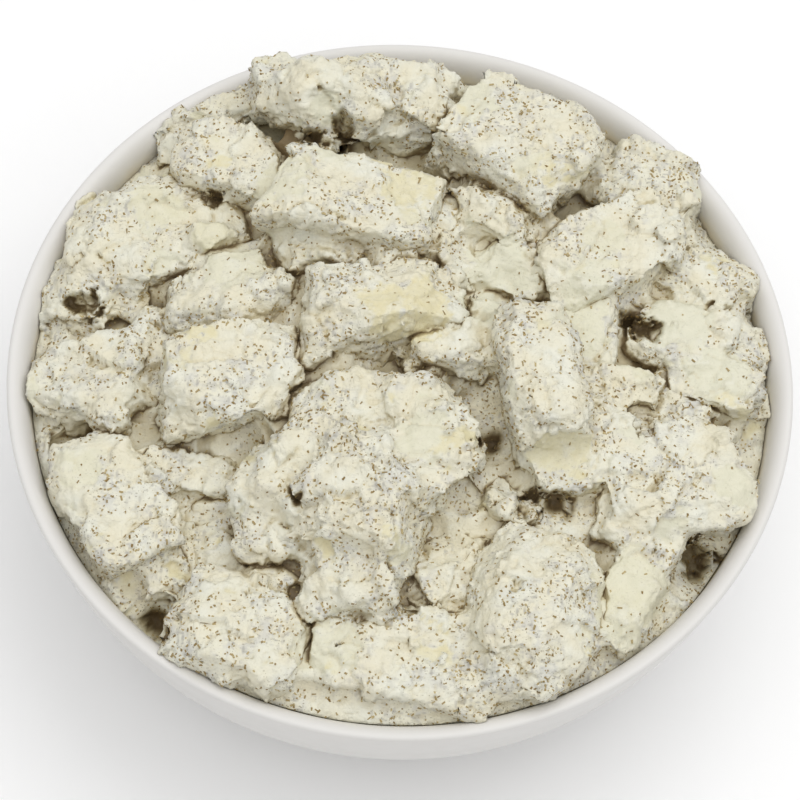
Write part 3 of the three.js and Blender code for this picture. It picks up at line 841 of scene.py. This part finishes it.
def coating(name, sink, lumps=0.0):
    """The coat of dressing: sheets of it with torn edges, plates that it breaks into,
    curds and grain, and the potato's own smoother face where it is bare. The bulk of
    the salad is also cut into lumps, and spread towards the wall below the brim."""
    wiring, start = shaping(name)
    place = wiring.place()
    facing = wiring.facing()
    edge = wiring.ramp(proudness(wiring, place, facing, 14), *EDGE_BAND)

    inlets = {"Vector": place, "Scale": 1 / (6 * MM), "Detail": 2.0}
    warp = wiring.add("ShaderNodeTexNoise", inlets, "Color")
    warp = wiring.scaled(wiring.vector("SUBTRACT", warp, (0.5, 0.5, 0.5)), 4.5 * MM)
    bent = wiring.vector("ADD", place, warp)
    sheets = wiring.ramp(wiring.noise(bent, 9 * MM, detail=3, rough=0.55, shift=3), 0.47, 0.53)
    scraps = wiring.ramp(wiring.noise(bent, 4 * MM, detail=3, rough=0.6, shift=53), 0.5, 0.57)
    thick = wiring.times_plus(sheets, 0.6, wiring.times(scraps, 0.4))
    bare, yellow = bareness(wiring, place, thick)
    coated = wiring.minus(1.0, bare)

    plates = 0.0
    for size, slope, step, shift in PLATES:
        moved = wiring.vector("ADD", bent, (shift, shift, shift))
        cell = wiring.add("ShaderNodeTexVoronoi", {"Vector": moved, "Scale": 1 / size}).node
        tilt = wiring.vector("SUBTRACT", cell.outputs["Color"], (0.5, 0.5, 0.5))
        across = wiring.vector("SUBTRACT", moved, cell.outputs["Position"])
        rise = wiring.vector("DOT_PRODUCT", across, tilt, "Value")
        lift = wiring.vector("DOT_PRODUCT", tilt, (0.0, 0.0, 1.0), "Value")
        plates = wiring.times_plus(rise, slope, plates)
        plates = wiring.times_plus(lift, step, plates)

    curdy = wiring.ramp(wiring.noise(place, 11 * MM, detail=2, shift=31), 0.44, 0.6)
    curds = wiring.minus(0.45, wiring.cells(bent, 3.4 * MM, feature="SMOOTH_F1"))
    small_curds = wiring.minus(0.45, wiring.cells(bent, 1.8 * MM, shift=3))
    torn = wiring.noise(place, 5 * MM, detail=3, rough=0.6, shift=41, kind="RIDGED_MULTIFRACTAL")
    grain = wiring.noise(place, 1.5 * MM, detail=2, rough=0.6, shift=47)
    frayed = wiring.noise(place, 2.1 * MM, detail=2, rough=0.6, shift=43)
    face = wiring.noise(place, 8 * MM, detail=3, shift=47)

    height = wiring.times(sheets, SHEET_RISE)
    height = wiring.times_plus(scraps, SCRAP_RISE, height)
    height = wiring.plus(height, plates)
    height = wiring.times_plus(wiring.times(curds, curdy), CURD_RISE, height)
    height = wiring.times_plus(wiring.times(small_curds, curdy), SMALL_CURD_RISE, height)
    height = wiring.times_plus(wiring.minus(torn, 0.6), TORN_RISE, height)
    height = wiring.times_plus(wiring.minus(grain, 0.5), GRAIN_RISE, height)
    height = wiring.times(height, wiring.ramp(coated, 0.0, 1.0, LEFT_WHERE_BARE, 1.0))
    ragged = wiring.times(wiring.minus(frayed, 0.47), edge)
    height = wiring.times_plus(ragged, RAGGED_RISE, height)
    height = wiring.times_plus(wiring.minus(face, 0.5), FACE_RISE, height)
    lowered = wiring.times_plus(bare, -BARE_DROP, -COAT_DROP - sink)
    if lumps:
        flat = wiring.vector("MULTIPLY", place, (1.0, 1.0, 0.0))
        near_wall = wiring.ramp(wiring.length(flat), *SPREAD_BAND)
        lumpy = wiring.times(wiring.cells(bent, 9 * MM, shift=9), lumps)
        lumpy = wiring.times(lumpy, wiring.minus(1.0, near_wall))
        height = wiring.minus(height, lumpy)
    offset = wiring.scaled(facing, wiring.plus(height, lowered))
    if lumps:
        reach = wiring.times(wiring.times(near_wall, under_brim(wiring, place)), BANK_SPREAD)
        outward = wiring.scaled(wiring.vector("NORMALIZE", flat), reach)
        offset = wiring.vector("ADD", offset, outward)
    coat = wiring.shifted(start, offset)
    for label, value in (("bare", bare), ("yellow", yellow), ("thick", thick)):
        coat = wiring.store(coat, label, value)
    held = kept_in_bowl(wiring, pitted(wiring, coat))
    in_mm = 1 / MM
    depth = wiring.times(proudness(wiring, wiring.place(), wiring.facing(), 5), -in_mm)
    creased = wiring.store(held, "crease", depth)
    return end_with(wiring, wiring.add("GeometryNodeSetShadeSmooth", {0: creased}))


def crowding(crowd):
    """How shut in each point is by what lies round it, from 0, open, to 1, kept for painting shade
    into the dressing's colour.
    """
    wiring, start = shaping("crowding")
    place = wiring.place()
    facing = wiring.facing()
    target = wiring.add("GeometryNodeObjectInfo", {"Object": crowd}, outlet="Geometry")
    origin = wiring.vector("ADD", place, wiring.scaled(facing, CROWD_START))
    shut = 0.0
    for step in range(CROWD_RAYS):
        up = 1 - (2 * step + 1) / CROWD_RAYS
        around = GOLDEN_ANGLE * step
        out = math.sqrt(1 - up * up) * CROWD_SPREAD
        ray = (out * math.cos(around), out * math.sin(around), up * CROWD_SPREAD)
        inlets = {
            "Target Geometry": target, "Source Position": origin,
            "Ray Direction": wiring.vector("ADD", facing, ray), "Ray Length": CROWD_REACH,
        }
        cast = wiring.add("GeometryNodeRaycast", inlets).node
        far = wiring.ramp(cast.outputs["Hit Distance"], 0.0, CROWD_REACH, 1.0, 0.0)
        near = wiring.times(cast.outputs["Is Hit"], far)
        shut = wiring.times_plus(near, 1 / CROWD_RAYS, shut)
    return end_with(wiring, wiring.store(start, "shut", shut))


def potato_and_dressing():
    """Cream with herbs in it, over pale or buttery potato where it is bare, with painted shade in its
    creases and hollows.
    """
    material, wiring, shader, place = new_finish("dressed_potato")
    kept = ("bare", "yellow", "thick", "crease", "shut")
    bare, yellow, thick, crease, shut = [wiring.stored(name) for name in kept]

    broad = wiring.ramp(wiring.noise(place, 9 * MM, detail=3), 0.35, 0.65)
    cream = wiring.mix(broad, paint(228, 227, 212), paint(226, 220, 196))
    cream = wiring.mix(wiring.ramp(thick, 0.0, 1.0, 0.45, 0.0), cream, paint(226, 221, 198))
    flesh = wiring.mix(yellow, paint(218, 216, 194), paint(220, 211, 172))
    mottled = wiring.ramp(wiring.noise(place, 2.5 * MM, detail=3, shift=5), 0.3, 0.7, 0.0, 0.35)
    flesh = wiring.mix(mottled, flesh, paint(231, 227, 206))
    colour = wiring.mix(bare, cream, flesh)

    # Herbs that show through the dressing as grey-blue smudges
    herby = wiring.ramp(wiring.noise(place, 11 * MM, detail=2, shift=9), 0.38, 0.6)
    herby = wiring.times(herby, wiring.ramp(bare, 0.2, 0.8, 1.0, 0.12))
    cloudy = wiring.ramp(wiring.noise(place, 4 * MM, detail=4, rough=0.65, shift=13), 0.45, 0.65)
    cloudy = wiring.times(cloudy, wiring.times(herby, 0.65))
    colour = wiring.mix(cloudy, colour, paint(199, 198, 193))
    for size, shift, stretch, darkness in (
        (1.7 * MM, 0, (1.0, 0.4, 0.8), 0.65),
        (1.3 * MM, 5, (0.45, 1.0, 0.8), 0.65),
    ):
        drawn = wiring.vector("MULTIPLY", place, stretch)
        veiled = wiring.ramp(wiring.cells(drawn, size, shift), 0.1, 0.36, 1.0, 0.0)
        veiled = wiring.times(veiled, wiring.times(herby, darkness))
        colour = wiring.mix(veiled, colour, paint(168, 165, 158))

    # Fine herb dust
    for size, shift, stretch, darkness in (
        (1.0 * MM, 19, (1.0, 0.5, 1.0), 0.8),
        (0.85 * MM, 29, (0.5, 1.0, 1.0), 0.75),
        (0.75 * MM, 39, (1.0, 1.0, 0.7), 0.7),
    ):
        drawn = wiring.vector("MULTIPLY", place, stretch)
        speck = wiring.ramp(wiring.cells(drawn, size, shift), 0.12, 0.24, 1.0, 0.0)
        pick = wiring.cells(drawn, size, shift, outlet="Color")
        pick = wiring.ramp(pick, 0.42, 0.5)
        speck = wiring.times(speck, wiring.times(pick, darkness))
        speck = wiring.times(speck, wiring.times_plus(herby, 0.75, 0.12))
        colour = wiring.mix(speck, colour, paint(118, 107, 78))

    # Painted shade: warmer and darker where it lies low, in creases and where the pieces round it
    # shut it in
    nook = wiring.ramp(crease, 0.05, 0.3, 0.0, 0.25)
    colour = wiring.mix(nook, colour, paint(196, 182, 146))
    colour = wiring.mix(wiring.ramp(shut, 0.2, 0.46, 0.0, 0.6), colour, paint(178, 162, 118))
    colour = wiring.mix(wiring.ramp(shut, 0.38, 0.7, 0.0, 0.85), colour, paint(104, 82, 46))

    wet = wiring.noise(place, 2.2 * MM, detail=2, shift=51)
    shine = wiring.ramp(wet, 0.3, 0.7, 0.42, 0.62)
    wiring.feed(shader, {"Base Color": colour, "Roughness": shine, "Specular IOR Level": 0.4})
    grain = wiring.noise(place, 0.8 * MM, detail=2, rough=0.5, shift=57)
    height = wiring.times(grain, 0.6)
    torn = wiring.noise(place, 8 * MM, detail=4, rough=0.5, shift=67)
    for level in (0.45, 0.55):
        film = wiring.ramp(torn, level, level + 0.02)
        height = wiring.times_plus(film, 0.2, height)
    rough = wiring.times(height, wiring.ramp(bare, 0.0, 1.0, 1.0, 0.7))
    inlets = {"Height": rough, "Strength": 0.9, "Distance": 0.45 * MM}
    wiring.feed(shader, {"Normal": wiring.add("ShaderNodeBump", inlets)})
    return material


# ---- the bulk of the salad ----

def banking():
    """Banks the bulk of the salad up against the wall of the bowl."""
    wiring, start = shaping("banking")
    place = wiring.place()
    x, y, z = wiring.split(place)
    out = wiring.length(wiring.point(x, y))
    near_wall = wiring.ramp(out, *BANK_BAND)
    drop = brim_drop(wiring, y)
    flat = wiring.point(x, y, RIM_LEVEL)
    for spot, radius in WALL_NOOKS:
        away = wiring.vector("DISTANCE", flat, at_level((*spot, 0)), "Value")
        nook = wiring.ramp(away, 0.5 * radius * MM, radius * MM, BANK_IN_NOOK, 0.0)
        drop = wiring.maths("MAXIMUM", drop, nook)
    short = wiring.maths("MAXIMUM", wiring.minus(wiring.minus(RIM_LEVEL, drop), z), 0.0)
    near_top = wiring.times(near_wall, wiring.ramp(z, *TOP_BAND))
    rise = wiring.point(z=wiring.times(short, near_top))
    return end_with(wiring, kept_in_bowl(wiring, wiring.shifted(start, rise)))


def rubble(chunks):
    """Broken bits of potato, strewn in the hollows of the bulk of the salad."""
    wiring, start = shaping("rubble")
    facing = wiring.facing()
    place = wiring.place()
    up = wiring.vector("DOT_PRODUCT", facing, (0.0, 0.0, 1.0), "Value")
    up = wiring.ramp(up, *RUBBLE_SLOPES)
    low = wiring.ramp(proudness(wiring, place, facing, 40), *RUBBLE_HOLLOWS, 1.0, 0.0)
    density = wiring.times(wiring.times(up, low), RUBBLE_DENSITY)
    points = wiring.points_on(start, density, 12)
    spin = wiring.draw((0, 0, 0), (FULL_TURN, FULL_TURN, FULL_TURN), 15)
    share = wiring.maths("POWER", wiring.draw(0.0, 1.0, 18), 1.6)
    share = wiring.times_plus(share, 0.7, 0.35)
    pick = wiring.add("GeometryNodeCollectionInfo", {
        "Collection": chunks, "Separate Children": True, "Reset Children": True,
    })
    inlets = {
        "Points": points["Points"], "Instance": pick, "Pick Instance": True,
        "Rotation": spin, "Scale": share,
    }
    strewn = wiring.add("GeometryNodeInstanceOnPoints", inlets)
    return end_with(wiring, wiring.together(wiring.realized(strewn), start))


def broken_chunks():
    """A few broken bits of potato, as cut ends and slices."""
    chunks = bpy.data.collections.new("chunks")
    for cut in CHUNK_CUTS:
        piece = cut_block(knife_cuts("lump", seeded_draw(cut)))
        draw = seeded_draw(cut + CHUNK_SIZES_AFTER)
        piece.scale = [CHUNK_SIZE * (0.3 + 0.25 * draw()) for _ in range(3)]
        piece = join("chunk_%d" % cut, [piece])
        bpy.context.scene.collection.objects.unlink(piece)
        chunks.objects.link(piece)
    return chunks


def salad_bed(tree):
    """The bulk of the salad under the pieces that show, worked up from its solid."""
    solid = frame["nodes"]["potato_salad"]
    bed = bpy.data.objects.new("salad_bed", solid.data.copy())
    bpy.context.scene.collection.objects.link(bed)
    only(bed)
    bpy.ops.object.mode_set(mode="EDIT")
    bpy.ops.mesh.select_all(action="SELECT")
    bpy.ops.mesh.remove_doubles(threshold=0.001 * MM)
    bpy.ops.object.mode_set(mode="OBJECT")
    middle = RIM_LEVEL - BANK_IN_NOOK - BANK_DEPTH / 2
    bpy.ops.mesh.primitive_cylinder_add(
        vertices=BANK_SIDES, radius=INNER_RADIUS, depth=BANK_DEPTH, location=(0, 0, middle))
    bed = join("salad_bed", [bed, bpy.context.active_object])
    chunks = broken_chunks()
    remesh(bed, 2 * BED_VOXEL)
    finish_with(bed, "NODES", node_group=banking())
    finish_with(bed, "NODES", node_group=rubble(chunks))
    for chunk in list(chunks.objects):
        bpy.data.objects.remove(chunk)
    bpy.data.collections.remove(chunks)
    remesh(bed, BED_VOXEL)
    for bridge, passes in ((BED_BRIDGE, 4), (-BED_BRIDGE, 2)):
        finish_with(bed, "DISPLACE", strength=bridge, mid_level=0)
        remesh(bed, BED_VOXEL)
        finish_with(bed, "SMOOTH", factor=0.5, iterations=passes)
    finish_with(bed, "NODES", node_group=tree)
    return bed


# ---- herbs ----

def herb_flake():
    """One flake of dried herb, a broken bit of leaf under a millimetre long."""
    bpy.ops.mesh.primitive_cube_add(size=1)
    flake = bpy.context.active_object
    for point in flake.data.vertices:
        pinch = 0.7 if point.co.x > 0 else 0.95
        point.co.y = point.co.y * pinch + 0.15 * point.co.x
    flake.scale = HERB_SIZE
    return join("herb_flake", [flake])


def scattering(flake):
    """Flakes strewn in drifts over all that can be seen from above."""
    wiring, start = shaping("scattering")
    place = wiring.place()
    drifts = wiring.noise(place, 11 * MM, detail=3, rough=0.6, shift=9)
    drifts = wiring.ramp(drifts, 0.36, 0.64, 0.2, 1.6)
    bare = wiring.add("GeometryNodeInputNamedAttribute", {"Name": "bare"}, data_type="FLOAT")
    drifts = wiring.times(drifts, wiring.ramp(bare, 0.3, 0.7, 1.0, 0.12))
    points = wiring.points_on(start, wiring.times(drifts, HERB_DENSITY), 4)
    kept = wiring.store(points["Points"], "lean", points["Normal"], "FLOAT_VECTOR")
    inlets = {"Name": "lean"}
    lean = wiring.add("GeometryNodeInputNamedAttribute", inlets, data_type="FLOAT_VECTOR")
    inlets = {
        "Target Geometry": start,
        "Source Position": wiring.vector("ADD", place, wiring.scaled(lean, 0.4 * MM)),
        "Ray Direction": wiring.vector("ADD", wiring.scaled(lean, 0.7), HERB_FALL),
        "Ray Length": HERB_CAUGHT,
    }
    inlets = {"Geometry": kept, "Selection": wiring.add("GeometryNodeRaycast", inlets, "Is Hit")}
    seen = wiring.add("GeometryNodeDeleteGeometry", inlets, domain="POINT")
    length = wiring.maths("POWER", wiring.draw(0.0, 1.0, 8), 3.0)
    length = wiring.times_plus(length, HERB_LONGER, HERB_SHORTEST)
    inlets = {
        "Points": seen,
        "Instance": wiring.add("GeometryNodeObjectInfo", {"Object": flake}, "Geometry"),
        "Rotation": wiring.add("FunctionNodeAlignRotationToVector", {"Vector": lean}, axis="Z"),
        "Scale": wiring.point(length, wiring.draw(0.5, 1.0, 9), 0.8),
    }
    strewn = wiring.add("GeometryNodeInstanceOnPoints", inlets)
    spin = wiring.draw((-0.25, -0.25, 0.0), (0.25, 0.25, FULL_TURN), 2)
    strewn = wiring.add("GeometryNodeRotateInstances", {"Instances": strewn, "Rotation": spin})
    strewn = wiring.store(strewn, "shade", wiring.draw(0.0, 1.0, 6), domain="INSTANCE")
    return end_with(wiring, wiring.realized(strewn))


def copy_of_all(name, pieces):
    """One mesh with a copy of every piece in it."""
    copies = []
    for piece in pieces:
        copy = bpy.data.objects.new(name, piece.data.copy())
        bpy.context.scene.collection.objects.link(copy)
        copies.append(copy)
    return join(name, copies)


def strew_herbs(herbs, material):
    flake = herb_flake()
    finish_with(herbs, "NODES", node_group=scattering(flake))
    bpy.data.objects.remove(flake)
    herbs.data.materials.clear()
    herbs.data.materials.append(material)
    return herbs


def dried_herb():
    """Brown to pale straw, each flake its own shade."""
    material, wiring, shader, place = new_finish("dried_herb")
    shade = wiring.stored("shade")
    colour = wiring.mix(shade, paint(124, 96, 38), paint(192, 174, 128))
    streak = wiring.noise(place, 0.5 * MM, detail=2)
    colour = wiring.mix(wiring.ramp(streak, 0.4, 0.7, 0.0, 0.5), colour, paint(150, 134, 90))
    wiring.feed(shader, {"Base Color": colour, "Roughness": 0.6})
    return material


# ---- the studio ----

# The photo's camera: its distance from the middle of the rim, its roll, and how far
# off the picture's middle the rim's middle lies.
EYE_DISTANCE = 750 * MM
ROLL = math.radians(3.7)
AIM_UP = math.radians(0.570)
AIM_LEFT = math.radians(0.025)
LENS = 132.7
SENSOR = 36

# Lamps: place and size in metres, and power in watts. Then how bright it is all round,
# and how white the paper is.
LAMPS = {
    "window": ((0.3, 0.25, 1.1), 0.8, 2.4),
    "overhead": ((0.1, -0.1, 1.6), 2.8, 20.0),
}
ALL_ROUND = 0.52
PAPER = 0.97


def camera():
    bpy.ops.object.camera_add()
    eye = bpy.context.active_object
    back = Vector((0, -math.cos(LOOK_DOWN), math.sin(LOOK_DOWN)))
    eye.location = Vector((0, 0, RIM_LEVEL)) + back * EYE_DISTANCE
    look = (-back).to_track_quat("-Z", "Y").to_matrix()
    roll = Matrix.Rotation(ROLL, 3, "Z")
    aim = Matrix.Rotation(-AIM_UP, 3, "X") @ Matrix.Rotation(AIM_LEFT, 3, "Y")
    eye.rotation_euler = (look @ roll @ aim).to_euler()
    eye.data.lens = LENS
    eye.data.sensor_width = SENSOR
    bpy.context.scene.camera = eye


def light(name, place, size, power):
    bpy.ops.object.light_add(type="AREA", location=place)
    lamp = bpy.context.active_object
    lamp.name = name
    lamp.data.size = size
    lamp.data.energy = power
    towards = Vector((0, 0, RIM_LEVEL)) - Vector(place)
    lamp.rotation_euler = towards.to_track_quat("-Z", "Y").to_euler()


def studio():
    camera()
    bpy.ops.mesh.primitive_plane_add(size=8)
    floor = bpy.context.active_object
    floor.name = "floor"
    paper, wiring, shader, _ = new_finish("paper")
    wiring.feed(shader, {"Base Color": (PAPER, PAPER, PAPER, 1), "Roughness": 0.9})
    floor.data.materials.append(paper)
    for name, (place, size, power) in LAMPS.items():
        light(name, place, size, power)
    world = bpy.data.worlds.new("studio")
    world.use_nodes = True
    world.node_tree.nodes["Background"].inputs[0].default_value = (1, 1, 1, 1)
    world.node_tree.nodes["Background"].inputs[1].default_value = ALL_ROUND
    bpy.context.scene.world = world
    bpy.context.scene.view_settings.view_transform = "Standard"
    bpy.context.scene.view_settings.look = "None"


# ---- putting it together ----

def ride_and_replace(piece, node):
    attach(piece, "root")
    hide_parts(node)


bowl = turn_bowl()
bowl.data.materials.append(glaze())
ride_and_replace(bowl, "bowl")

dressed = potato_and_dressing()
swellings = {kind: swelling(kind) for kind in KINDS}
coat = coating("coat", 0.0)
salad = []
for cluster, entries in CLUSTERS.items():
    piece = join("salad_" + cluster, [potato_piece(entry, swellings) for entry in entries])
    bridge = BRIDGES.get(cluster, BRIDGE)
    finish_with(piece, "DISPLACE", strength=bridge, mid_level=0)
    remesh(piece, BLOCK_VOXEL)
    finish_with(piece, "DISPLACE", strength=-bridge, mid_level=0)
    finish_with(piece, "SMOOTH", factor=0.5, iterations=1)
    remesh(piece, COAT_VOXEL)
    finish_with(piece, "NODES", node_group=coat)
    salad.append(piece)
salad.append(salad_bed(coating("bed_coat", BED_SINK, BED_LUMPS)))
crowd = copy_of_all("herb_flakes", salad)
crowded = crowding(crowd)
for piece in salad:
    finish_with(piece, "NODES", node_group=crowded)
    piece.data.materials.clear()
    piece.data.materials.append(dressed)
    ride_and_replace(piece, "potato_salad")

herbs = strew_herbs(crowd, dried_herb())
ride_and_replace(herbs, "potato_salad")

studio()
